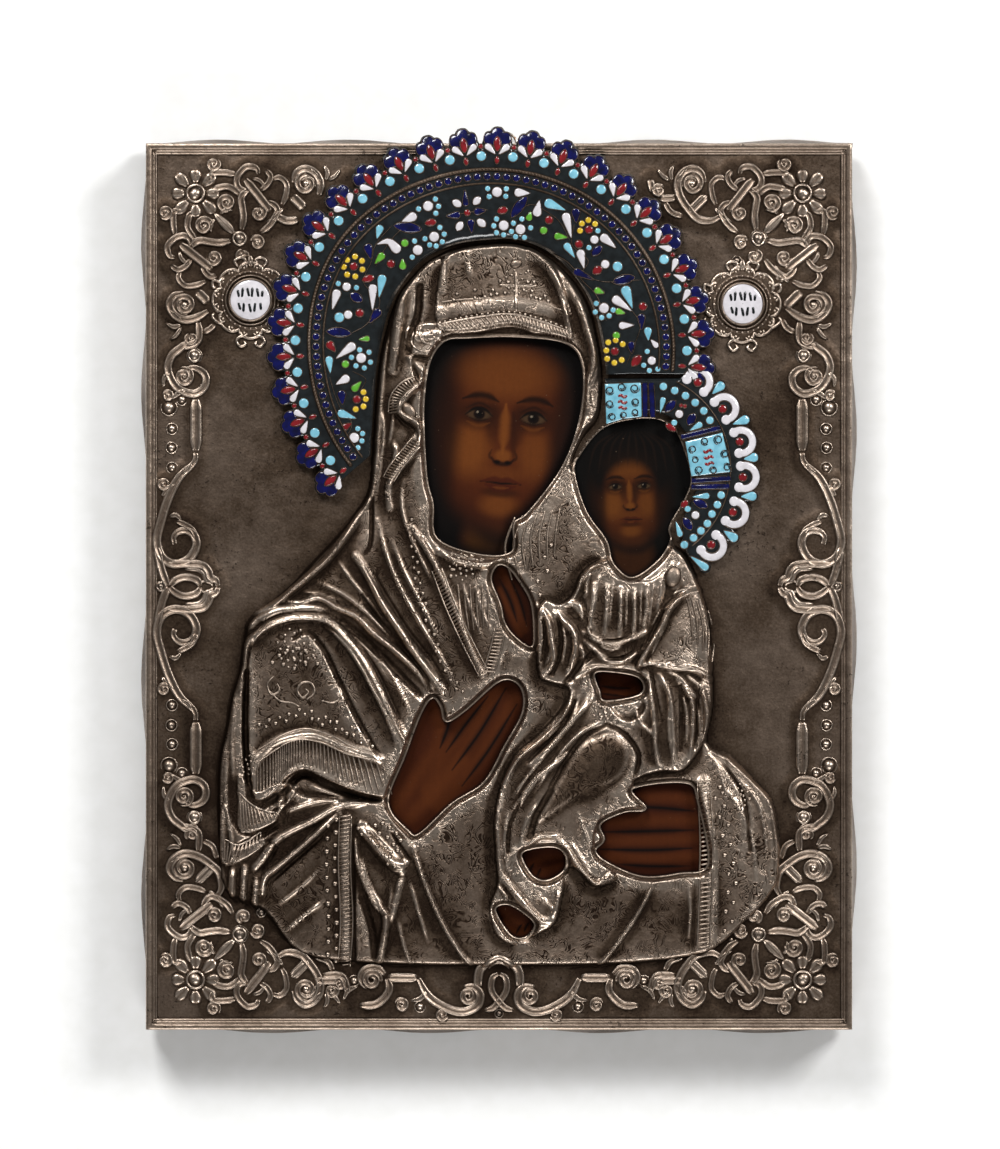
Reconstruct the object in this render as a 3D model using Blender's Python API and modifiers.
"""Icon panel: a painted wooden board under a hammered silver cover, with enamelled halos.

Metres, +Z up. The panel lies on its back. The origin is the middle of the board's underside,
+X runs to the right of the picture and +Y to its top.

The layout of the picture (outlines, folds, scrolls) is given in pixels of the 1000 x 1149
photograph and is carried over as shares of the panel's width and height. Heights, widths of
ridges, walls, gaps and thicknesses are real sizes.
"""

import math

import bmesh
import bpy
import numpy

# Driving sizes of the whole panel.
PANEL_WIDTH = 0.247
PANEL_HEIGHT = 0.310
BOARD_THICKNESS = 0.024
SHEET_THICKNESS = 0.0008
SIDE_CLEARANCE = 0.0006
FIT_GAP = 0.0003

# The turned-down sides of the cover, which spread in waves towards their lower edge.
SIDE_DROP = 0.0185
SIDE_SPREAD = 0.0008
SIDE_WAVE = 0.0024
SIDE_STEP = 0.014
SIDE_LEVELS = (0.08, 0.5, 1.0)
INNER_SIDE_LEVELS = (1.0, 0.5, 0.0)
EDGE_TOLERANCE = 0.0002

# The moulded rim around the face.
RIM_WIDTH = 0.0040
RIM_HEIGHT = 0.0012
RIM_GROOVE = 0.0004

# Carving heights over the field.
ORNAMENT_HEIGHT = 0.0020
STRAP_HALF_WIDTH = 0.0012
ORNAMENT_RISE_BY_HALO = 1.5
FIGURE_EDGE_HEIGHT = 0.0022
FIGURE_EDGE_WIDTH = 0.0022
FIGURE_BODY_HEIGHT = 0.0036
FIGURE_BODY_REACH = 0.020
CHILD_EDGE_HEIGHT = 0.0016
CHILD_BODY_HEIGHT = 0.0016
CHILD_BODY_REACH = 0.010
LIP_HEIGHT = 0.0012
LIP_REACH = 0.0042

# Halos and their raised bed.
BED_HEIGHT = 0.0015
BED_INSET = 0.0022
HALO_EDGE_THICKNESS = 0.0012
HALO_CROWN = 0.0013
HALO_ROPE_HEIGHT = 0.0005
HALO_CLEARANCE = 0.0009

# White enamel discs in their settings.
DISC_RADIUS = 0.0076
DISC_THICKNESS = 0.0016
DISC_BEZEL_WIDTH = 0.0008
DISC_DOME = 0.0008
DISC_BED_HEIGHT = 0.0012
DISC_BED_MARGIN = 0.0008
DISC_SCROLL_WIDTH = 0.0016
LEFT_DISC_GAP = 0.0014
RIGHT_DISC_GAP = 0.0042

# Wire loop at the top edge of the board.
LOOP_WIRE_DIAMETER = 0.0010
LOOP_WIDTH = 0.0085
LOOP_REACH = 0.0070
LOOP_LEVEL = 0.0026
LOOP_TIP_SHARE = 0.45

# How fine the carving is cut, and how many triangles the cover keeps.
CARVING_STEP = 0.00085
SHEET_TRIANGLES = 5100
OPENING_CUTTER_HEIGHT = 0.030
BOARD_EDGE_BEVEL = 0.0010
HALO_RINGS = 4
DISC_SEGMENTS = 24
LOOP_POINTS = 13
LOOP_MIDDLE_PX = 505.0
SMOOTH_ANGLE = 40.0

# The photograph's own frame: the middle of the face and its size in pixels.
FACE_CENTRE_PX = (499.0, 586.5)
FACE_SIZE_PX = (706.0, 885.0)

BOARD_TOP = BOARD_THICKNESS
COVER_UNDERSIDE = BOARD_TOP + FIT_GAP
FIELD = COVER_UNDERSIDE + SHEET_THICKNESS
COVER_LOWER_EDGE = BOARD_TOP - SIDE_DROP
BOARD_WIDTH = PANEL_WIDTH - 2.0 * (SHEET_THICKNESS + SIDE_CLEARANCE)
BOARD_HEIGHT = PANEL_HEIGHT - 2.0 * (SHEET_THICKNESS + SIDE_CLEARANCE)

# Where the sides bulge: places along each side in pixels, and the length of a bulge.
BULGES_LEFT_PX = (240.0, 390.0, 680.0, 900.0)
BULGES_RIGHT_PX = (262.0, 430.0, 640.0, 868.0)
BULGES_TOP_PX = (215.0, 345.0, 655.0, 790.0)
BULGES_BOTTOM_PX = (270.0, 430.0, 600.0, 765.0)
BULGE_LENGTH_PX = 62.0

# The mother's outline, from the top of the hood down the left side and back up the right.
MOTHER_OUTLINE = (
    (490, 243), (455, 248), (425, 262), (405, 285), (392, 310), (384, 340), (379, 370),
    (374, 430), (372, 460), (366, 496), (342, 527), (305, 567), (276, 598), (253, 614),
    (243, 631), (240, 664), (231, 690), (224, 728), (217, 763), (216, 830), (222, 890),
    (262, 912), (300, 955), (380, 966), (500, 968), (620, 966), (705, 955), (745, 925),
    (776, 890), (781, 855), (778, 826), (772, 800), (754, 779), (729, 754), (710, 741),
    (716, 700), (712, 640), (704, 594), (688, 556), (672, 541), (640, 500), (601, 473),
    (575, 468), (581, 441), (599, 419), (603, 394), (603, 369), (599, 344), (592, 314),
    (580, 289), (562, 267), (542, 252), (517, 243),
)
CHILD_OUTLINE = (
    (610, 556), (591, 564), (580, 574), (573, 592), (560, 602), (545, 598), (536, 612),
    (534, 640), (538, 676), (552, 684), (568, 690), (560, 714), (539, 736), (516, 755),
    (501, 780), (494, 812), (494, 850), (496, 880), (489, 905), (494, 932), (512, 944),
    (535, 935), (556, 922), (564, 890), (567, 868), (580, 872), (596, 886), (618, 876),
    (596, 848), (602, 820), (640, 806), (634, 782), (660, 772), (684, 770), (705, 740),
    (713, 706), (710, 664), (708, 620), (702, 592), (690, 566), (676, 548), (640, 530),
)

# Openings in the cover over the painted flesh, and a list of them all.
FACE_OPENING = (
    (424, 399), (430, 362), (445, 341), (469, 338), (517, 337), (567, 344), (583, 369),
    (580, 418), (562, 468), (528, 513), (514, 524), (512, 552), (480, 555), (437, 539),
    (433, 505), (427, 480), (424, 435),
)
CHILD_HEAD_OPENING = (
    (638, 418), (604, 427), (580, 454), (574, 473), (586, 512), (606, 541), (613, 564),
    (632, 578), (658, 561), (671, 540), (670, 526), (688, 494), (691, 472), (678, 433),
    (662, 420),
)
MOTHER_RIGHT_HAND_OPENING = (
    (388, 802), (405, 755), (420, 715), (432, 697), (441, 706), (446, 721), (465, 710),
    (497, 682), (513, 680), (523, 692), (522, 714), (505, 745), (484, 782), (452, 803),
    (420, 833), (408, 830),
)
MOTHER_LEFT_HAND_OPENING = (
    (632, 788), (686, 782), (698, 803), (708, 864), (679, 873), (642, 876), (607, 862),
    (595, 850), (604, 839), (600, 823), (624, 811), (646, 808),
)
CHILD_RIGHT_HAND_OPENING = (
    (497, 565), (508, 567), (520, 582), (531, 602), (534, 629), (532, 647), (517, 639),
    (505, 624), (500, 604), (491, 580),
)
CHILD_LEFT_HAND_OPENING = ((594, 673), (610, 671), (639, 677), (641, 694), (605, 701), (599, 691))
NEAR_FOOT_OPENING = (
    (521, 855), (530, 848), (555, 846), (566, 855), (564, 870), (547, 880), (532, 875),
)
FAR_FOOT_OPENING = ((495, 909), (508, 903), (527, 914), (535, 925), (525, 937), (510, 934))
OPENINGS = (
    FACE_OPENING, CHILD_HEAD_OPENING, MOTHER_RIGHT_HAND_OPENING, MOTHER_LEFT_HAND_OPENING,
    CHILD_RIGHT_HAND_OPENING, CHILD_LEFT_HAND_OPENING, NEAR_FOOT_OPENING, FAR_FOOT_OPENING,
)

# Folds of the mother's mantle: height and half width in millimetres, then the ridge's line.
MOTHER_FOLDS = (
    (1.6, 2.6, ((413, 283), (403, 294), (399, 321), (395, 353), (393, 370))),
    (1.3, 2.2, ((402, 292), (390, 316), (384, 345), (379, 378), (375, 440), (369, 492), (355, 518))),
    (0.7, 1.6, ((446, 255), (444, 270), (443, 292))),
    (1.3, 1.9, ((531, 250), (550, 271), (561, 291), (567, 314), (571, 336))),
    (1.4, 1.9, ((565, 284), (578, 304), (587, 330), (593, 352), (592, 372), (585, 386), (590, 414))),
    (1.8, 2.4, ((590, 420), (578, 437), (560, 465), (548, 486), (534, 508))),
    (1.6, 1.8, ((411, 358), (424, 378), (407, 396), (400, 412), (418, 425), (421, 442), (398, 471),
                (389, 486), (390, 508))),
    (2.0, 1.8, ((361, 505), (353, 526), (332, 555), (310, 576), (278, 600), (251, 614), (243, 626))),
    (1.7, 1.9, ((356, 556), (369, 576), (383, 604), (399, 628), (415, 652), (434, 678), (443, 689))),
    (1.6, 1.7, ((278, 600), (299, 603), (319, 598), (338, 608), (358, 617), (374, 633), (394, 649),
                (418, 671), (431, 687))),
    (1.3, 2.6, ((254, 625), (275, 612), (297, 609), (319, 609), (336, 617))),
    (2.2, 1.8, ((242, 690), (246, 649), (262, 630), (283, 619), (305, 616), (329, 620), (348, 638),
                (362, 655), (377, 681), (389, 706), (401, 729), (412, 750))),
    (1.3, 1.2, ((326, 626), (345, 643), (361, 666), (374, 690), (387, 716), (397, 740))),
    (1.0, 2.4, ((257, 756), (272, 743), (289, 736), (312, 733), (331, 739), (352, 748), (376, 756))),
    (1.4, 1.9, ((256, 866), (270, 848), (283, 835), (313, 820), (336, 807), (366, 799))),
    (1.9, 1.6, ((262, 892), (266, 876), (278, 866), (304, 844), (327, 823), (340, 811))),
    (1.1, 1.5, ((233, 866), (232, 906))),
    (1.1, 1.5, ((245, 866), (243, 908))),
    (1.1, 1.5, ((257, 876), (254, 912))),
    (1.3, 1.8, ((364, 829), (383, 851), (399, 863), (408, 860))),
    (1.1, 1.4, ((386, 806), (400, 828), (412, 839))),
    (1.5, 1.7, ((356, 840), (359, 858), (366, 880), (376, 901), (386, 916), (384, 940), (379, 960))),
    (0.9, 1.7, ((403, 872), (396, 900), (389, 925))),
    (1.1, 1.1, ((413, 846), (424, 879), (440, 917), (458, 948), (476, 970))),
    (1.1, 1.1, ((656, 877), (638, 911), (615, 945), (594, 970))),
    (1.2, 1.6, ((411, 527), (424, 545), (441, 574), (456, 606), (468, 640), (482, 672))),
    (1.3, 1.6, ((729, 757), (754, 782), (770, 800), (775, 820), (778, 850), (776, 884))),
    (0.8, 2.6, ((699, 783), (706, 815), (711, 850), (712, 900), (711, 950))),
    (0.8, 1.6, ((281, 788), (281, 812))),
    (1.2, 1.6, ((440, 551), (455, 560), (480, 565), (505, 562))),
)

# Folds of the child's clothes, given in the same way.
CHILD_FOLDS = (
    (1.3, 1.4, ((611, 559), (593, 566), (582, 576), (575, 593), (567, 602))),
    (0.9, 1.5, ((564, 603), (578, 605), (583, 620))),
    (0.7, 1.1, ((594, 584), (592, 606), (589, 626))),
    (0.7, 1.1, ((607, 586), (606, 610), (604, 632))),
    (0.7, 1.1, ((620, 588), (620, 612), (619, 636))),
    (0.7, 1.1, ((633, 589), (634, 612), (633, 634))),
    (0.7, 1.1, ((646, 586), (646, 606), (643, 628))),
    (1.1, 1.2, ((583, 632), (598, 640), (614, 643), (629, 639), (644, 632))),
    (1.1, 1.3, ((585, 641), (598, 653), (609, 661), (623, 661), (637, 651))),
    (1.7, 1.5, ((700, 590), (684, 594), (669, 609), (660, 629), (645, 652), (636, 666))),
    (1.0, 1.4, ((705, 602), (708, 622), (707, 646))),
    (1.3, 2.2, ((675, 566), (673, 577), (674, 586))),
    (1.4, 1.4, ((650, 663), (676, 668), (693, 670), (711, 679))),
    (1.1, 1.3, ((659, 674), (669, 695), (672, 730), (674, 764))),
    (1.2, 1.3, ((676, 677), (686, 690), (692, 704), (692, 731), (689, 758))),
    (1.1, 1.3, ((701, 685), (706, 712), (704, 738))),
    (1.1, 1.3, ((648, 679), (653, 715), (655, 747), (660, 768))),
    (1.4, 1.6, ((537, 606), (547, 619), (551, 639), (553, 661), (541, 676))),
    (1.4, 1.6, ((556, 613), (572, 630), (575, 648), (569, 672))),
    (1.1, 1.4, ((576, 675), (594, 668), (614, 670), (632, 676))),
    (1.6, 1.8, ((569, 684), (566, 707), (541, 736), (518, 756), (503, 782))),
    (1.1, 1.6, ((592, 697), (569, 723), (550, 746), (531, 763))),
    (1.1, 1.6, ((566, 754), (536, 778), (516, 806))),
    (0.9, 1.5, ((500, 796), (497, 823), (500, 872))),
    (1.1, 1.7, ((503, 876), (519, 896), (537, 916), (550, 920))),
    (1.0, 1.3, ((558, 835), (540, 835), (526, 844))),
    (1.3, 1.4, ((560, 840), (575, 860), (588, 878), (597, 882), (612, 874))),
    (0.9, 1.4, ((559, 888), (556, 906), (552, 916))),
)
KNEE_OUTLINE = (
    (598, 732), (618, 734), (630, 748), (631, 764), (620, 779), (598, 792), (572, 806),
    (556, 800), (556, 784), (567, 760), (581, 740),
)
KNEE_HEIGHT = 0.0024
KNEE_SHOULDER = 0.0100

# Sunk lines beside the folds: depth and half width in millimetres, then the line.
HOLLOWS = (
    (1.6, 1.6, ((420, 287), (418, 315), (411, 335), (409, 352))),
    (0.9, 1.0, ((372, 497), (371, 541), (366, 553))),
    (2.2, 1.4, ((247, 672), (246, 740), (250, 796))),
    (1.4, 1.6, ((344, 622), (362, 637), (382, 656), (404, 678), (424, 698))),
    (1.2, 1.2, ((294, 638), (308, 632), (322, 646), (330, 660), (344, 690), (360, 722), (380, 756))),
    (1.8, 1.6, ((262, 806), (284, 792), (296, 778), (308, 775), (330, 784), (358, 796), (386, 800))),
    (1.4, 1.4, ((240, 845), (262, 834), (282, 822))),
    (1.4, 1.2, ((353, 826), (353, 880), (354, 964))),
    (1.0, 1.6, ((362, 896), (372, 928), (375, 956))),
    (1.1, 1.1, ((606, 723), (624, 733), (638, 754), (634, 779))),
    (1.0, 1.4, ((550, 790), (537, 812), (529, 836))),
    (1.2, 1.4, ((594, 652), (580, 664), (566, 682))),
)

# Scrolls of one corner: half width as a share of a strap's, then the line, in pixels from the
# corner's knot. Each is repeated across the corner's diagonal.
CORNER_KNOT_PX = (758.4, 239.2)
CORNER_STRAPS = (
    (1.0, ((-2, -8), (-4, -20), (-3, -30), (-2, -41), (-9, -50))),
    (0.9, ((-1, -43), (4, -48), (12, -52), (23, -50), (27, -46))),
    (1.2, ((-5, -60), (-31, -27))),
    (0.9, ((-27, -37), (-34, -34), (-38, -28), (-35, -20), (-29, -12), (-20, -6))),
    (0.9, ((-9, -48), (0, -50), (3, -57), (0, -65), (-8, -72), (-17, -70), (-19, -64))),
    (0.9, ((3, -64), (14, -66), (27, -65), (26, -56))),
    (0.8, ((-26, -69), (-31, -62), (-28, -54), (-20, -48))),
    (0.8, ((-32, -59), (-40, -61), (-47, -54), (-46, -42), (-42, -33))),
    (1.1, ((-54, -55), (-57, -65), (-66, -70), (-76, -65), (-81, -54), (-78, -41), (-70, -29),
           (-61, -20), (-47, -18), (-37, -23))),
    (1.3, ((-52, -43), (-60, -35), (-69, -26))),
    (1.0, ((-82, -41), (-101, -41), (-107, -52), (-108, -60))),
    (0.8, ((-94, -37), (-88, -27), (-75, -22))),
)
CORNER_BOSSES = ((44.0, -45.3, 9.0), (0.0, 0.0, 9.5), (-66.3, -54.9, 6.0), (-21.7, 21.7, 5.0))
CORNER_PETALS = ((44, -66), (60, -60), (66, -45), (27, -60), (24, -26))

# Scrolls of one half of a side, and of one half of the lower border, in the photograph's pixels.
SIDE_STRAPS = (
    (1.1, ((799, 340), (804, 347), (812, 345), (818, 349), (826, 356), (830, 368), (826, 381),
           (818, 390), (804, 394), (794, 388), (792, 378), (797, 371), (806, 368), (813, 373))),
    (1.6, ((802, 398), (802, 452))),
    (1.2, ((802, 452), (804, 463), (819, 478), (830, 500), (838, 522), (840, 545), (833, 559),
           (823, 562), (811, 557), (804, 547), (805, 536), (813, 530), (821, 534))),
    (1.0, ((809, 563), (790, 571), (780, 586))),
    (1.0, ((816, 573), (802, 579), (793, 586))),
    (1.3, ((797, 586), (811, 577), (828, 586))),
    (0.8, ((822, 574), (834, 565))),
)
SIDE_BOSSES = ((803.5, 356.1, 6.0), (829.0, 407.8, 6.5), (826.0, 429.0, 4.5), (826.5, 448.0, 4.5),
               (826.0, 468.0, 4.5), (816.0, 400.0, 4.5), (837.0, 586.5, 4.0))
LOWER_STRAPS = (
    (1.2, ((580, 977), (611, 977))),
    (1.2, ((580, 977), (570, 995), (552, 1007), (535, 1011), (521, 1005), (518, 994), (525, 986),
           (535, 987))),
    (1.1, ((611, 977), (609, 990), (621, 1003), (639, 1005))),
    (1.0, ((612, 974), (622, 967), (633, 969), (637, 978), (630, 988))),
    (1.0, ((658, 980), (684, 980))),
    (1.2, ((518, 987), (520, 981), (516, 970), (508, 963), (499, 957))),
    (0.9, ((499, 1000), (508, 988), (506, 977), (499, 973))),
)
LOWER_BOSSES = ((578.0, 1006.0, 4.5), (644.0, 980.0, 5.0), (596.0, 1004.0, 5.0))

# The large halo: centre, radii and bearings in pixels and degrees, and its scalloped edge.
HALO_CENTRE_PX = (492.0, 352.0)
HALO_TIP_PX = 221.0
HALO_SCALLOP_PX = 11.0
HALO_ROPE_PX = 177.0
HALO_ROPE_WIDTH_PX = 5.0
HALO_UNITS = 26
HALO_LEFT_BEARING = 220.5
HALO_RIGHT_BEARING = -11.5
HALO_RIGHT_LEVEL_PX = 375.0
SCALLOP_STEPS = 4

# The small halo, and its inner edge beside the child's hair.
SMALL_HALO_CENTRE_PX = (633.4, 469.0)
SMALL_HALO_TIP_PX = 122.0
SMALL_HALO_SCALLOP_PX = 6.0
SMALL_HALO_ROPE_PX = 80.0
SMALL_HALO_UNITS = 9
SMALL_HALO_TOP_PX = 381.0
SMALL_HALO_BEARINGS = (106.0, -56.0)
BED_LAST_BEARING = 60.0
BED_STEPS = 24
SMALL_HALO_INNER_EDGE = (
    (601, 422), (620, 414), (638, 412), (664, 415), (683, 430), (693, 451), (697, 472),
    (694, 495), (684, 516), (682, 540), (690, 562),
)
DISC_BEARINGS = {"left_disc": 168.0, "right_disc": 10.7}


def face_point(pixel):
    """A point of the face from its place in the photograph, as shares of the panel's size."""
    across = (pixel[0] - FACE_CENTRE_PX[0]) / FACE_SIZE_PX[0]
    up = (FACE_CENTRE_PX[1] - pixel[1]) / FACE_SIZE_PX[1]
    return (across * PANEL_WIDTH, up * PANEL_HEIGHT)


def face_points(pixels):
    """Several points of the face as an array of x and y."""
    return numpy.array([face_point(pixel) for pixel in pixels])


def ease(share):
    """Rise from 0 to 1, level at both ends."""
    share = numpy.clip(share, 0.0, 1.0)
    return share * share * (3.0 - 2.0 * share)


def curve_through(points, closed=False, steps=4):
    """A smooth Catmull-Rom curve through a few points."""
    points = numpy.asarray(points, float)
    if len(points) < 3:
        return points
    if closed:
        padded = numpy.vstack((points[-1:], points, points[:2]))
    else:
        padded = numpy.vstack((2 * points[:1] - points[1:2], points, 2 * points[-1:] - points[-2:-1]))
    shares = numpy.linspace(0.0, 1.0, steps, endpoint=False)[:, None]
    pieces = []
    for before, start, end, after in zip(padded, padded[1:], padded[2:], padded[3:]):
        pieces.append(0.5 * (2.0 * start + (end - before) * shares
                             + (2.0 * before - 5.0 * start + 4.0 * end - after) * shares ** 2
                             + (3.0 * start - before - 3.0 * end + after) * shares ** 3))
    if not closed:
        pieces.append(points[-1:])
    return numpy.vstack(pieces)


class Relief:
    """Heights over a lattice of points on the face."""

    def __init__(self, across, up):
        self.across = across
        self.up = up
        self.x, self.y = numpy.meshgrid(across, up)
        self.height = numpy.zeros_like(self.x)

    def layer(self):
        """An empty relief over the same lattice."""
        return Relief(self.across, self.up)

    def window(self, path, reach):
        """The part of the lattice that lies within reach of a path."""
        low = path.min(axis=0) - reach
        high = path.max(axis=0) + reach
        columns = slice(*numpy.searchsorted(self.across, (low[0], high[0])))
        rows = slice(*numpy.searchsorted(self.up, (low[1], high[1])))
        return rows, columns

    def near(self, path, reach, closed=False):
        """The window around a path, each point's distance to it and the share along it."""
        if closed:
            path = numpy.vstack((path, path[:1]))
        area = self.window(path, reach)
        x, y = self.x[area], self.y[area]
        nearest = numpy.full(x.shape, numpy.inf)
        along = numpy.zeros(x.shape)
        runs = numpy.hypot(*(path[1:] - path[:-1]).T)
        passed = 0.0
        for start, end, length in zip(path, path[1:], runs):
            if length == 0.0:
                continue
            step = (end - start) / length
            travel = numpy.clip((x - start[0]) * step[0] + (y - start[1]) * step[1], 0.0, length)
            gap = (x - start[0] - travel * step[0]) ** 2 + (y - start[1] - travel * step[1]) ** 2
            closer = gap < nearest
            nearest = numpy.where(closer, gap, nearest)
            along = numpy.where(closer, passed + travel, along)
            passed += length
        return area, numpy.sqrt(nearest), along / passed

    def inside(self, outline, area):
        """Which points of a window lie inside a closed outline."""
        x, y = self.x[area], self.y[area]
        within = numpy.zeros(x.shape, bool)
        for start, end in zip(outline, numpy.roll(outline, -1, axis=0)):
            rise = end[1] - start[1]
            if rise == 0.0:
                continue
            crosses = (start[1] > y) != (end[1] > y)
            within ^= crosses & (x < start[0] + (end[0] - start[0]) * (y - start[1]) / rise)
        return within

    def depth_inside(self, outline):
        """The window around an outline, and how deep inside it each point lies."""
        area, gap, _ = self.near(outline, 0.0, closed=True)
        return area, numpy.where(self.inside(outline, area), gap, 0.0)

    def raise_ridge(self, path, height, half_width, pointed=0.5):
        """A rounded ridge along a path, lower towards its ends, kept where it is highest."""
        area, gap, along = self.near(path, half_width)
        taper = pointed + (1.0 - pointed) * ease(numpy.minimum(along, 1.0 - along) * 4.0)
        rise = height * taper * (1.0 - numpy.clip(gap / half_width, 0.0, 1.0) ** 2) ** 1.5
        self.height[area] = numpy.maximum(self.height[area], rise)

    def raise_boss(self, centre, height, radius):
        """A rounded boss."""
        self.raise_ridge(numpy.array([centre, centre + (1e-6, 0.0)]), height, radius, pointed=1.0)


def millimetres(value):
    return value * 0.001


def mirrored(pixels, flip_x, flip_y):
    """Points turned over about the middle of the face."""
    points = numpy.array(pixels, float)
    if flip_x:
        points[:, 0] = 2.0 * FACE_CENTRE_PX[0] - points[:, 0]
    if flip_y:
        points[:, 1] = 2.0 * FACE_CENTRE_PX[1] - points[:, 1]
    return points


def corner_figures():
    """The straps and bosses of one corner, in the photograph's pixels."""
    knot = numpy.array(CORNER_KNOT_PX)
    straps = []
    bosses = []
    for turned in (False, True):
        for share, points in CORNER_STRAPS:
            line = numpy.array(points, float)
            if turned:
                line = -line[:, ::-1]
            straps.append((share, knot + line))
        for dx, dy, radius in CORNER_BOSSES:
            place = (-dy, -dx) if turned else (dx, dy)
            bosses.append((knot + place, radius))
    flower = knot + CORNER_BOSSES[0][:2]
    for petal in CORNER_PETALS:
        straps.append((1.5, numpy.array([flower, knot + petal])))
    return straps, bosses


def raise_border(relief):
    """Scrolls, straps, bosses and shells of the border, the same in its four quarters."""
    straps, bosses = corner_figures()
    for share, points in SIDE_STRAPS:
        straps.append((share, points))
    for across, down, radius in SIDE_BOSSES:
        bosses.append(((across, down), radius))
    pixel = PANEL_WIDTH / FACE_SIZE_PX[0]
    for flip_x in (False, True):
        for flip_y in (False, True):
            for share, points in straps:
                path = face_points(curve_through(mirrored(points, flip_x, flip_y)))
                relief.raise_ridge(path, ORNAMENT_HEIGHT, STRAP_HALF_WIDTH * share, pointed=0.8)
            for place, radius in bosses:
                centre = face_point(mirrored([place], flip_x, flip_y)[0])
                relief.raise_boss(numpy.array(centre), ORNAMENT_HEIGHT, radius * pixel)
        for share, points in LOWER_STRAPS:
            path = face_points(curve_through(mirrored(points, flip_x, False)))
            relief.raise_ridge(path, ORNAMENT_HEIGHT, STRAP_HALF_WIDTH * share, pointed=0.8)
        for across, down, radius in LOWER_BOSSES:
            centre = face_point(mirrored([(across, down)], flip_x, False)[0])
            relief.raise_boss(numpy.array(centre), ORNAMENT_HEIGHT, radius * pixel)


def halo_polar(relief):
    """Distance in pixels from the large halo's centre, and bearing in degrees, at each point."""
    across = relief.x / PANEL_WIDTH * FACE_SIZE_PX[0] + FACE_CENTRE_PX[0] - HALO_CENTRE_PX[0]
    up = relief.y / PANEL_HEIGHT * FACE_SIZE_PX[1] - FACE_CENTRE_PX[1] + HALO_CENTRE_PX[1]
    bearing = numpy.degrees(numpy.arctan2(up, across))
    return numpy.hypot(across, up), numpy.where(bearing < -90.0, bearing + 360.0, bearing)


def halo_outer(bearing, tip, scallop, first, last, units):
    """The scalloped outer radius of a halo in pixels."""
    phase = (bearing - first) / (last - first) * units
    return tip - scallop * (1.0 - numpy.abs(numpy.cos(math.pi * phase)) ** 0.7)


def radius_reader(outline, centre):
    """A function that reads an outline's distance from a centre by bearing in degrees."""
    offsets = numpy.asarray(outline, float) - centre
    bearings = numpy.degrees(numpy.arctan2(-offsets[:, 1], offsets[:, 0]))
    bearings = numpy.where(bearings < -90.0, bearings + 360.0, bearings)
    order = numpy.argsort(bearings)
    radii = numpy.hypot(offsets[:, 0], offsets[:, 1])[order]
    return lambda bearing: numpy.interp(bearing, bearings[order], radii)


def hood_radius():
    """The hood's outline as seen from the large halo's centre."""
    hood = [point for point in curve_through(MOTHER_OUTLINE, closed=True)
            if point[1] < 500.0 and (point[0] < HALO_CENTRE_PX[0] or point[1] < 420.0)]
    return radius_reader(hood, HALO_CENTRE_PX)


def disc_centre(name):
    """A disc sits outside the large halo's tips, on its own bearing from the halo's centre."""
    bearing = math.radians(DISC_BEARINGS[name])
    heading = (math.cos(bearing), math.sin(bearing))
    centre = face_point(HALO_CENTRE_PX)
    tip = face_point((HALO_CENTRE_PX[0] + HALO_TIP_PX * heading[0],
                      HALO_CENTRE_PX[1] - HALO_TIP_PX * heading[1]))
    gap = LEFT_DISC_GAP if name == "left_disc" else RIGHT_DISC_GAP
    reach = math.hypot(tip[0] - centre[0], tip[1] - centre[1]) + gap + DISC_RADIUS
    slope = math.atan2(tip[1] - centre[1], tip[0] - centre[0])
    return numpy.array((centre[0] + reach * math.cos(slope), centre[1] + reach * math.sin(slope)))


def raise_rim(relief):
    """A flat band with a sunk line around the edge of the face."""
    inset = numpy.minimum(PANEL_WIDTH / 2.0 - numpy.abs(relief.x),
                          PANEL_HEIGHT / 2.0 - numpy.abs(relief.y))
    band = ease((RIM_WIDTH - inset) / (RIM_WIDTH * 0.25) + 0.5)
    groove = numpy.clip(1.0 - numpy.abs(inset - RIM_WIDTH * 0.5) / (RIM_WIDTH * 0.22), 0.0, 1.0)
    relief.height += RIM_HEIGHT * band - RIM_GROOVE * groove


def raise_halo_bed(relief):
    """A level bed under both halos, a little smaller than they are."""
    pixel = PANEL_WIDTH / FACE_SIZE_PX[0]
    radius, bearing = halo_polar(relief)
    shore = (HALO_TIP_PX - HALO_SCALLOP_PX - radius) * pixel - BED_INSET
    end = numpy.radians(HALO_LEFT_BEARING - bearing) * radius * pixel - BED_INSET
    bed = ease(numpy.minimum(shore, end) / SHEET_THICKNESS)
    small = [(SMALL_HALO_CENTRE_PX[0] + (SMALL_HALO_TIP_PX - SMALL_HALO_SCALLOP_PX) * math.cos(turn),
              SMALL_HALO_CENTRE_PX[1] - (SMALL_HALO_TIP_PX - SMALL_HALO_SCALLOP_PX) * math.sin(turn))
             for turn in numpy.radians(numpy.linspace(BED_LAST_BEARING, SMALL_HALO_BEARINGS[1], BED_STEPS))]
    small.append(SMALL_HALO_CENTRE_PX)
    area, depth = relief.depth_inside(face_points(small))
    bed[area] = numpy.maximum(bed[area], ease((depth - BED_INSET) / SHEET_THICKNESS))
    relief.height = numpy.maximum(relief.height, BED_HEIGHT * bed)


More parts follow.
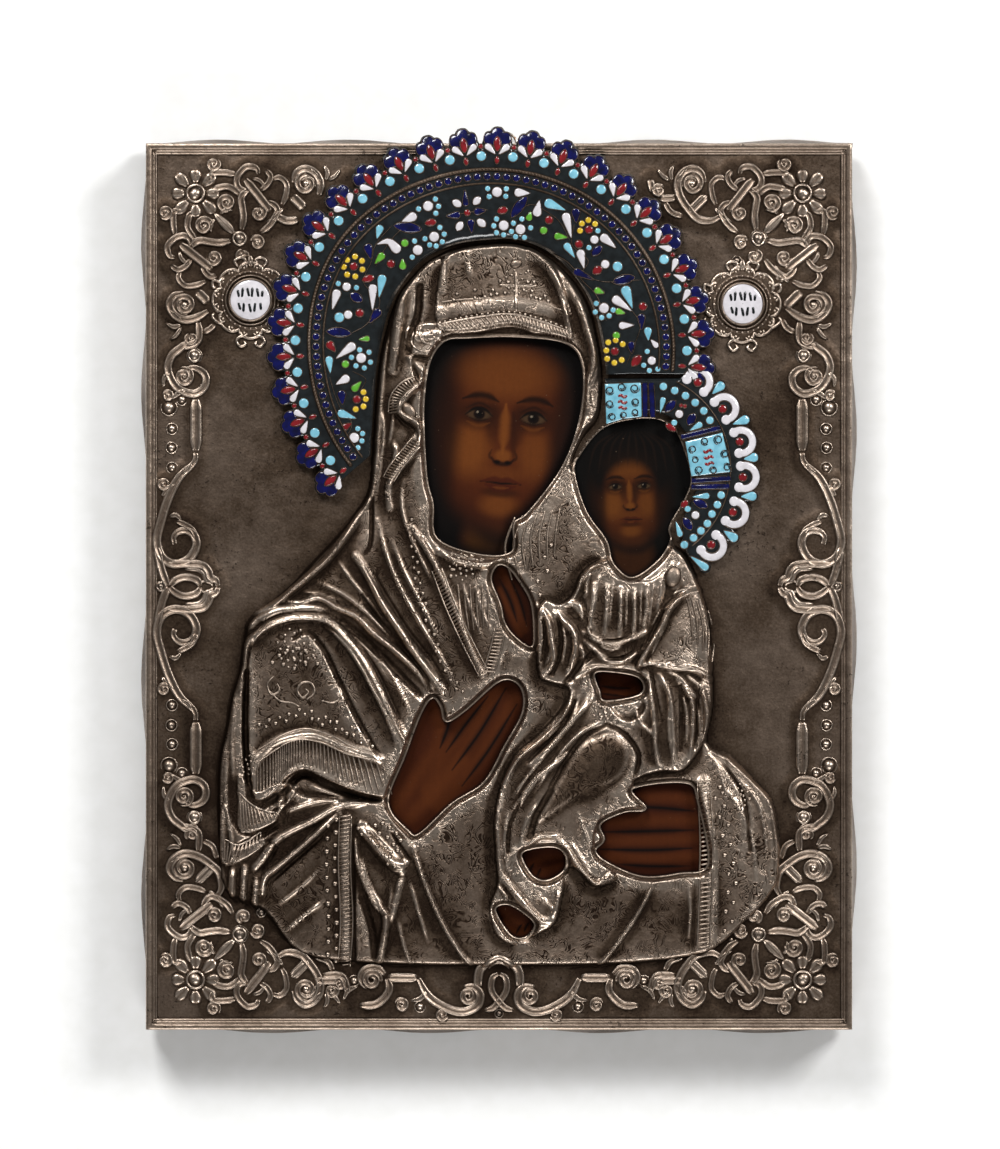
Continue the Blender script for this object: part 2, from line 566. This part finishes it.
def raise_disc_settings(relief):
    """A level bed, a beaded ring and a scrolled frame around each white disc."""
    for name in DISC_BEARINGS:
        centre = disc_centre(name)
        gap = numpy.hypot(relief.x - centre[0], relief.y - centre[1])
        bed_edge = DISC_RADIUS + DISC_BED_MARGIN
        bed = ease((bed_edge - gap) / SHEET_THICKNESS + 0.5)
        ring_gap = numpy.abs(gap - bed_edge - DISC_SCROLL_WIDTH) / DISC_SCROLL_WIDTH
        ring = numpy.clip(1.0 - ring_gap ** 2, 0.0, 1.0) ** 0.7
        near_disc = ease((bed_edge + 2.4 * DISC_SCROLL_WIDTH - gap) / SHEET_THICKNESS)
        relief.height = numpy.where(near_disc > 0.0, relief.height * (1.0 - near_disc), relief.height)
        relief.height = numpy.maximum(relief.height, DISC_BED_HEIGHT * bed)
        relief.height = numpy.maximum(relief.height, ORNAMENT_HEIGHT * ring * (gap > bed_edge))


def figure_height(relief):
    """The modelled height of mother and child over the field."""
    mother = face_points(curve_through(MOTHER_OUTLINE, closed=True))
    area, depth = relief.depth_inside(mother)
    body = relief.layer()
    body.height[area] = (FIGURE_EDGE_HEIGHT * ease(depth / FIGURE_EDGE_WIDTH)
                         + FIGURE_BODY_HEIGHT * (1.0 - numpy.exp(-depth / FIGURE_BODY_REACH)))
    folds = relief.layer()
    for height, half_width, points in MOTHER_FOLDS:
        folds.raise_ridge(face_points(curve_through(points)), millimetres(height), millimetres(half_width))
    child = face_points(curve_through(CHILD_OUTLINE, closed=True))
    area, depth = relief.depth_inside(child)
    cover = ease(depth / millimetres(1.5))
    folds.height[area] *= 1.0 - cover
    body.height[area] += (CHILD_EDGE_HEIGHT * cover
                          + CHILD_BODY_HEIGHT * (1.0 - numpy.exp(-depth / CHILD_BODY_REACH)))
    for height, half_width, points in CHILD_FOLDS:
        folds.raise_ridge(face_points(curve_through(points)), millimetres(height), millimetres(half_width))
    area, depth = relief.depth_inside(face_points(curve_through(KNEE_OUTLINE, closed=True)))
    knee = KNEE_HEIGHT * numpy.sqrt(ease(depth / KNEE_SHOULDER))
    folds.height[area] = numpy.maximum(folds.height[area], knee)
    hollows = relief.layer()
    for depth, half_width, points in HOLLOWS:
        hollows.raise_ridge(face_points(curve_through(points)), millimetres(depth), millimetres(half_width))
    return numpy.maximum(body.height + folds.height * (body.height > 0.0) - hollows.height, 0.0)


def lower_lips(relief):
    """The metal sinks to a low lip around each opening."""
    for opening in OPENINGS:
        outline = face_points(curve_through(opening, closed=True))
        area, gap, _ = relief.near(outline, LIP_REACH, closed=True)
        share = ease(gap / LIP_REACH)
        share = numpy.where(relief.inside(outline, area), 0.0, share)
        height = relief.height[area]
        relief.height[area] = numpy.where(height > LIP_HEIGHT,
                                          LIP_HEIGHT + (height - LIP_HEIGHT) * share, height)


def cover_relief(across, up):
    """The whole carving of the cover over its field."""
    relief = Relief(across, up)
    raise_border(relief)
    raise_disc_settings(relief)
    radius, bearing = halo_polar(relief)
    pixel = PANEL_WIDTH / FACE_SIZE_PX[0]
    outside = (radius - HALO_TIP_PX) * pixel
    past_end = numpy.radians(bearing - HALO_LEFT_BEARING) * radius * pixel
    ceiling = FIT_GAP + ORNAMENT_RISE_BY_HALO * numpy.maximum(0.0, numpy.maximum(outside, past_end))
    relief.height = numpy.minimum(relief.height, ceiling)
    raise_rim(relief)
    raise_halo_bed(relief)
    figure = figure_height(relief)
    relief.height = numpy.where(figure > 0.0, figure + relief.height * (radius > HALO_TIP_PX),
                                relief.height)
    lower_lips(relief)
    return relief.height


def spread_at(share, x, y):
    """How far the turned-down side stands out at a share of its drop, beside a point of its edge."""
    right = abs(abs(x) - PANEL_WIDTH / 2.0) < abs(abs(y) - PANEL_HEIGHT / 2.0)
    if right:
        place = FACE_CENTRE_PX[1] - y / PANEL_HEIGHT * FACE_SIZE_PX[1]
        bulges = BULGES_RIGHT_PX if x > 0.0 else BULGES_LEFT_PX
    else:
        place = FACE_CENTRE_PX[0] + x / PANEL_WIDTH * FACE_SIZE_PX[0]
        bulges = BULGES_TOP_PX if y > 0.0 else BULGES_BOTTOM_PX
    wave = max(math.exp(-((place - bulge) / BULGE_LENGTH_PX) ** 2) for bulge in bulges)
    return (SIDE_SPREAD + SIDE_WAVE * wave) * share ** 1.3


def open_edges(mesh):
    return [edge for edge in mesh.edges if edge.is_boundary]


def carved_sheet():
    """The face as an open sheet: a fine grid raised by the carving, thinned where it is plain."""
    columns = round(PANEL_WIDTH / CARVING_STEP)
    rows = round(PANEL_HEIGHT / CARVING_STEP)
    mesh = bmesh.new()
    bmesh.ops.create_grid(mesh, x_segments=columns, y_segments=rows, size=0.5)
    bmesh.ops.scale(mesh, vec=(PANEL_WIDTH, PANEL_HEIGHT, 1.0), verts=mesh.verts)
    mesh.verts.ensure_lookup_table()
    places = numpy.array([vertex.co[:2] for vertex in mesh.verts]).reshape(rows + 1, columns + 1, 2)
    heights = cover_relief(places[0, :, 0], places[:, 0, 1]).ravel()
    for vertex, height in zip(mesh.verts, heights):
        vertex.co.z = FIELD + height
    return thinned(mesh, SHEET_TRIANGLES)


def thinned(mesh, triangles):
    """The same sheet with fewer triangles."""
    bmesh.ops.triangulate(mesh, faces=mesh.faces)
    data = bpy.data.meshes.new("carved sheet")
    mesh.to_mesh(data)
    sheet = bpy.data.objects.new("carved sheet", data)
    bpy.context.scene.collection.objects.link(sheet)
    thin = sheet.modifiers.new("fewer faces", "DECIMATE")
    thin.ratio = triangles / len(mesh.faces)
    thin.use_collapse_triangulate = True
    mesh.clear()
    mesh.from_object(sheet, bpy.context.evaluated_depsgraph_get())
    bpy.data.objects.remove(sheet, do_unlink=True)
    return mesh


def even_edge(mesh):
    """Put the sheet's outer edge back on its rectangle and part it into even lengths."""
    corner = (PANEL_WIDTH / 2.0, PANEL_HEIGHT / 2.0)
    for vertex in {vertex for edge in open_edges(mesh) for vertex in edge.verts}:
        for axis in (0, 1):
            if corner[axis] - abs(vertex.co[axis]) < EDGE_TOLERANCE:
                vertex.co[axis] = math.copysign(corner[axis], vertex.co[axis])
        vertex.co.z = FIELD + RIM_HEIGHT
    for edge in open_edges(mesh):
        cuts = math.ceil(edge.calc_length() / SIDE_STEP) - 1
        if cuts > 0:
            bmesh.ops.subdivide_edges(mesh, edges=[edge], cuts=cuts)
    bmesh.ops.triangulate(mesh, faces=mesh.faces)


def grow_edge(mesh, level, inset):
    """Draw the sheet's open edge on to a level of the sides, in from their outer face."""
    half_width = PANEL_WIDTH / 2.0 - EDGE_TOLERANCE
    half_height = PANEL_HEIGHT / 2.0 - EDGE_TOLERANCE
    drop = max(0.0, (BOARD_TOP - level) / SIDE_DROP)
    grown = bmesh.ops.extrude_edge_only(mesh, edges=open_edges(mesh))["geom"]
    for vertex in [item for item in grown if isinstance(item, bmesh.types.BMVert)]:
        x, y = vertex[mesh.verts.layers.float["across"]], vertex[mesh.verts.layers.float["up"]]
        out = spread_at(drop, x, y) - inset
        side = math.copysign(1.0, x) if abs(x) > half_width else 0.0
        end = math.copysign(1.0, y) if abs(y) > half_height else 0.0
        vertex.co = (x + side * out, y + end * out, level)


def turn_down_sides(mesh):
    """The cover's sides: down the outer face, across the lower edge and up the inner face."""
    across = mesh.verts.layers.float.new("across")
    up = mesh.verts.layers.float.new("up")
    for vertex in mesh.verts:
        vertex[across] = vertex.co.x
        vertex[up] = vertex.co.y
    for share in SIDE_LEVELS:
        grow_edge(mesh, BOARD_TOP - SIDE_DROP * share, 0.0)
    for share in INNER_SIDE_LEVELS:
        grow_edge(mesh, COVER_UNDERSIDE - (COVER_UNDERSIDE - COVER_LOWER_EDGE) * share, SHEET_THICKNESS)
    close_below(mesh)


def close_below(mesh):
    """Fill a block's open underside and turn every face outwards."""
    floor = bmesh.ops.contextual_create(mesh, geom=open_edges(mesh))["faces"]
    bmesh.ops.triangulate(mesh, faces=floor)
    bmesh.ops.recalc_face_normals(mesh, faces=mesh.faces)


def piece(name, mesh, finish, collection):
    """A named object from a finished mesh."""
    data = bpy.data.meshes.new(name)
    mesh.to_mesh(data)
    mesh.free()
    thing = bpy.data.objects.new(name, data)
    data.materials.append(finish)
    collection.objects.link(thing)
    data.shade_smooth()
    data.set_sharp_from_angle(angle=math.radians(SMOOTH_ANGLE))
    return thing


def plain_surface(name, colour, roughness, metallic):
    """A plain surface: colour, roughness and metal."""
    material = bpy.data.materials.new(name)
    material.use_nodes = True
    shader = material.node_tree.nodes["Principled BSDF"]
    shader.inputs["Base Color"].default_value = (*colour, 1.0)
    shader.inputs["Roughness"].default_value = roughness
    shader.inputs["Metallic"].default_value = metallic
    material.diffuse_color = (*colour, 1.0)
    return material


def hide_cutter(cutter):
    cutter.hide_render = True
    cutter.display_type = "WIRE"


def cut_away(target, cutter):
    """Subtract a cutter from a piece."""
    cut = target.modifiers.new("cut " + cutter.name, "BOOLEAN")
    cut.operation = "DIFFERENCE"
    cut.solver = "EXACT"
    cut.object = cutter


def make_opening_cutter(number, opening, silver, cutters):
    """An upright block with the outline of one opening."""
    mesh = bmesh.new()
    outline = face_points(curve_through(opening, closed=True, steps=2))
    ring = [mesh.verts.new((x, y, BOARD_TOP)) for x, y in outline]
    base = mesh.faces.new(ring)
    grown = bmesh.ops.extrude_face_region(mesh, geom=[base])["geom"]
    upper = [item for item in grown if isinstance(item, bmesh.types.BMVert)]
    bmesh.ops.translate(mesh, vec=(0.0, 0.0, OPENING_CUTTER_HEIGHT), verts=upper)
    bmesh.ops.triangulate(mesh, faces=mesh.faces)
    bmesh.ops.recalc_face_normals(mesh, faces=mesh.faces)
    cutter = piece(f"opening_{number}", mesh, silver, cutters)
    hide_cutter(cutter)
    return cutter


def make_silver_cover(silver, pieces, cutters):
    """The hammered cover: a carved face, turned-down wavy sides and openings over the flesh."""
    mesh = carved_sheet()
    even_edge(mesh)
    turn_down_sides(mesh)
    bmesh.ops.triangulate(mesh, faces=mesh.faces)
    cover = piece("silver_cover", mesh, silver, pieces)
    for number, opening in enumerate(OPENINGS, start=1):
        cut_away(cover, make_opening_cutter(number, opening, silver, cutters))
    return cover


def make_board(wood, pieces):
    """The wooden board that fills the cover."""
    mesh = bmesh.new()
    bmesh.ops.create_cube(mesh, size=1.0)
    bmesh.ops.scale(mesh, vec=(BOARD_WIDTH, BOARD_HEIGHT, BOARD_THICKNESS), verts=mesh.verts)
    bmesh.ops.translate(mesh, vec=(0.0, 0.0, BOARD_THICKNESS / 2.0), verts=mesh.verts)
    bmesh.ops.bevel(mesh, geom=mesh.edges, offset=BOARD_EDGE_BEVEL, segments=1, affect="EDGES")
    return piece("wood_board", mesh, wood, pieces)


def halo_plate(name, centre, first, last, inner, outer, rope, steps, enamel, pieces):
    """A curved plate between two outlines: domed, with a rope ridge, on a level underside."""
    underside = FIELD + BED_HEIGHT + FIT_GAP
    edge_level = underside + HALO_EDGE_THICKNESS
    mesh = bmesh.new()
    bmesh.ops.create_grid(mesh, x_segments=steps, y_segments=HALO_RINGS, size=0.5)
    for vertex in mesh.verts:
        along = vertex.co.x + 0.5
        across = vertex.co.y + 0.5
        near = inner(first(0.0) + (last(0.0) - first(0.0)) * along)
        far = outer(first(1.0) + (last(1.0) - first(1.0)) * along)
        stops = (near, rope - HALO_ROPE_WIDTH_PX, rope, rope + HALO_ROPE_WIDTH_PX, far)
        radius = numpy.interp(across * HALO_RINGS, range(HALO_RINGS + 1), stops)
        reach = (radius - near) / (far - near)
        bearing = math.radians(first(reach) + (last(reach) - first(reach)) * along)
        x, y = face_point((centre[0] + radius * math.cos(bearing), centre[1] - radius * math.sin(bearing)))
        crown = HALO_CROWN * math.sin(math.pi * reach) ** 0.7 if 0.0 < reach < 1.0 else 0.0
        ridge = HALO_ROPE_HEIGHT if abs(radius - rope) < 1.0 else 0.0
        vertex.co = (x, y, edge_level + crown + ridge)
    grown = bmesh.ops.extrude_edge_only(mesh, edges=open_edges(mesh))["geom"]
    for vertex in [item for item in grown if isinstance(item, bmesh.types.BMVert)]:
        vertex.co.z = underside
    close_below(mesh)
    bmesh.ops.triangulate(mesh, faces=mesh.faces)
    return piece(name, mesh, enamel, pieces)


def make_large_halo(enamel, pieces):
    """The crescent halo behind the hood, cut level at its right end above the small halo."""
    hood = hood_radius()
    clear = HALO_CLEARANCE / PANEL_WIDTH * FACE_SIZE_PX[0]
    below = HALO_RIGHT_LEVEL_PX - HALO_CENTRE_PX[1]
    near_radius = float(hood(HALO_RIGHT_BEARING)) + clear

    def first(reach):
        radius = near_radius + (HALO_TIP_PX - near_radius) * reach
        return -math.degrees(math.asin(below / radius))

    def last(reach):
        return HALO_LEFT_BEARING

    def outer(bearing):
        return halo_outer(bearing, HALO_TIP_PX, HALO_SCALLOP_PX, first(1.0), last(1.0), HALO_UNITS)

    return halo_plate("large_halo", HALO_CENTRE_PX, first, last, lambda bearing: hood(bearing) + clear,
                      outer, HALO_ROPE_PX, HALO_UNITS * SCALLOP_STEPS, enamel, pieces)


def make_small_halo(enamel, pieces):
    """The halo beside the child's head, cut level below the large one."""
    inner = radius_reader(curve_through(SMALL_HALO_INNER_EDGE), SMALL_HALO_CENTRE_PX)
    rise = SMALL_HALO_CENTRE_PX[1] - SMALL_HALO_TOP_PX
    start, end = SMALL_HALO_BEARINGS

    def outer(bearing):
        radius = halo_outer(bearing, SMALL_HALO_TIP_PX, SMALL_HALO_SCALLOP_PX, end, start, SMALL_HALO_UNITS)
        climb = math.sin(math.radians(bearing))
        return min(radius, rise / climb) if climb > 0.1 else radius

    return halo_plate("small_halo", SMALL_HALO_CENTRE_PX, lambda reach: end, lambda reach: start, inner,
                      outer, SMALL_HALO_ROPE_PX, SMALL_HALO_UNITS * SCALLOP_STEPS, enamel, pieces)


def make_disc(name, enamel, pieces):
    """A white enamel disc in a thin raised bezel, turned from its profile."""
    base = FIELD + DISC_BED_HEIGHT + FIT_GAP
    rim = base + DISC_THICKNESS
    profile = [(0.0, rim + DISC_DOME - DISC_BEZEL_WIDTH / 2.0),
               (DISC_RADIUS * 0.5, rim + DISC_DOME * 0.75 - DISC_BEZEL_WIDTH / 2.0),
               (DISC_RADIUS - DISC_BEZEL_WIDTH, rim - DISC_BEZEL_WIDTH / 2.0),
               (DISC_RADIUS - DISC_BEZEL_WIDTH, rim),
               (DISC_RADIUS, rim), (DISC_RADIUS, base), (0.0, base)]
    data = bpy.data.meshes.new(name)
    edges = [(step, step + 1) for step in range(len(profile) - 1)]
    data.from_pydata([(radius, 0.0, level) for radius, level in profile], edges, [])
    data.materials.append(enamel)
    disc = bpy.data.objects.new(name, data)
    disc.location = (*disc_centre(name), 0.0)
    pieces.objects.link(disc)
    turn = disc.modifiers.new("turn", "SCREW")
    turn.steps = DISC_SEGMENTS
    turn.render_steps = DISC_SEGMENTS
    turn.use_merge_vertices = True
    turn.merge_threshold = 0.00005
    turn.use_normal_flip = False
    return disc


def make_hanging_loop(steel, pieces):
    """A wire loop whose two ends stop at the board's upper edge."""
    curve = bpy.data.curves.new("hanging_loop", "CURVE")
    curve.dimensions = "3D"
    curve.bevel_depth = LOOP_WIRE_DIAMETER / 2.0
    curve.bevel_resolution = 2
    curve.use_fill_caps = True
    foot = BOARD_HEIGHT / 2.0 + FIT_GAP
    middle = face_point((LOOP_MIDDLE_PX, 0.0))[0]
    turn = numpy.radians(numpy.linspace(-20.0, 200.0, LOOP_POINTS))
    radius = LOOP_WIDTH / 2.0
    arch = [(middle + radius * math.cos(angle), foot + LOOP_REACH - radius + radius * math.sin(angle))
            for angle in turn]
    tips = [(middle + radius * LOOP_TIP_SHARE, foot), (middle - radius * LOOP_TIP_SHARE, foot)]
    route = [tips[0], *arch, tips[1]]
    spline = curve.splines.new("POLY")
    spline.points.add(len(route) - 1)
    for point, (x, y) in zip(spline.points, route):
        point.co = (x, y, LOOP_LEVEL, 1.0)
    loop = bpy.data.objects.new("hanging_loop", curve)
    curve.materials.append(steel)
    pieces.objects.link(loop)
    return loop


def new_collection(name):
    collection = bpy.data.collections.new(name)
    bpy.context.scene.collection.children.link(collection)
    return collection


def main():
    for thing in list(bpy.data.objects):
        bpy.data.objects.remove(thing, do_unlink=True)
    pieces = new_collection("icon_panel")
    cutters = new_collection("cutters")
    silver = plain_surface("tarnished silver", (0.26, 0.23, 0.20), 0.38, 1.0)
    wood = plain_surface("dark wood", (0.09, 0.045, 0.02), 0.55, 0.0)
    enamel = plain_surface("dark enamel", (0.02, 0.03, 0.10), 0.25, 0.0)
    white_enamel = plain_surface("white enamel", (0.75, 0.75, 0.76), 0.2, 0.0)
    steel = plain_surface("bright wire", (0.55, 0.54, 0.52), 0.35, 1.0)
    make_board(wood, pieces)
    make_silver_cover(silver, pieces, cutters)
    make_large_halo(enamel, pieces)
    make_small_halo(enamel, pieces)
    for name in DISC_BEARINGS:
        make_disc(name, white_enamel, pieces)
    make_hanging_loop(steel, pieces)


main()
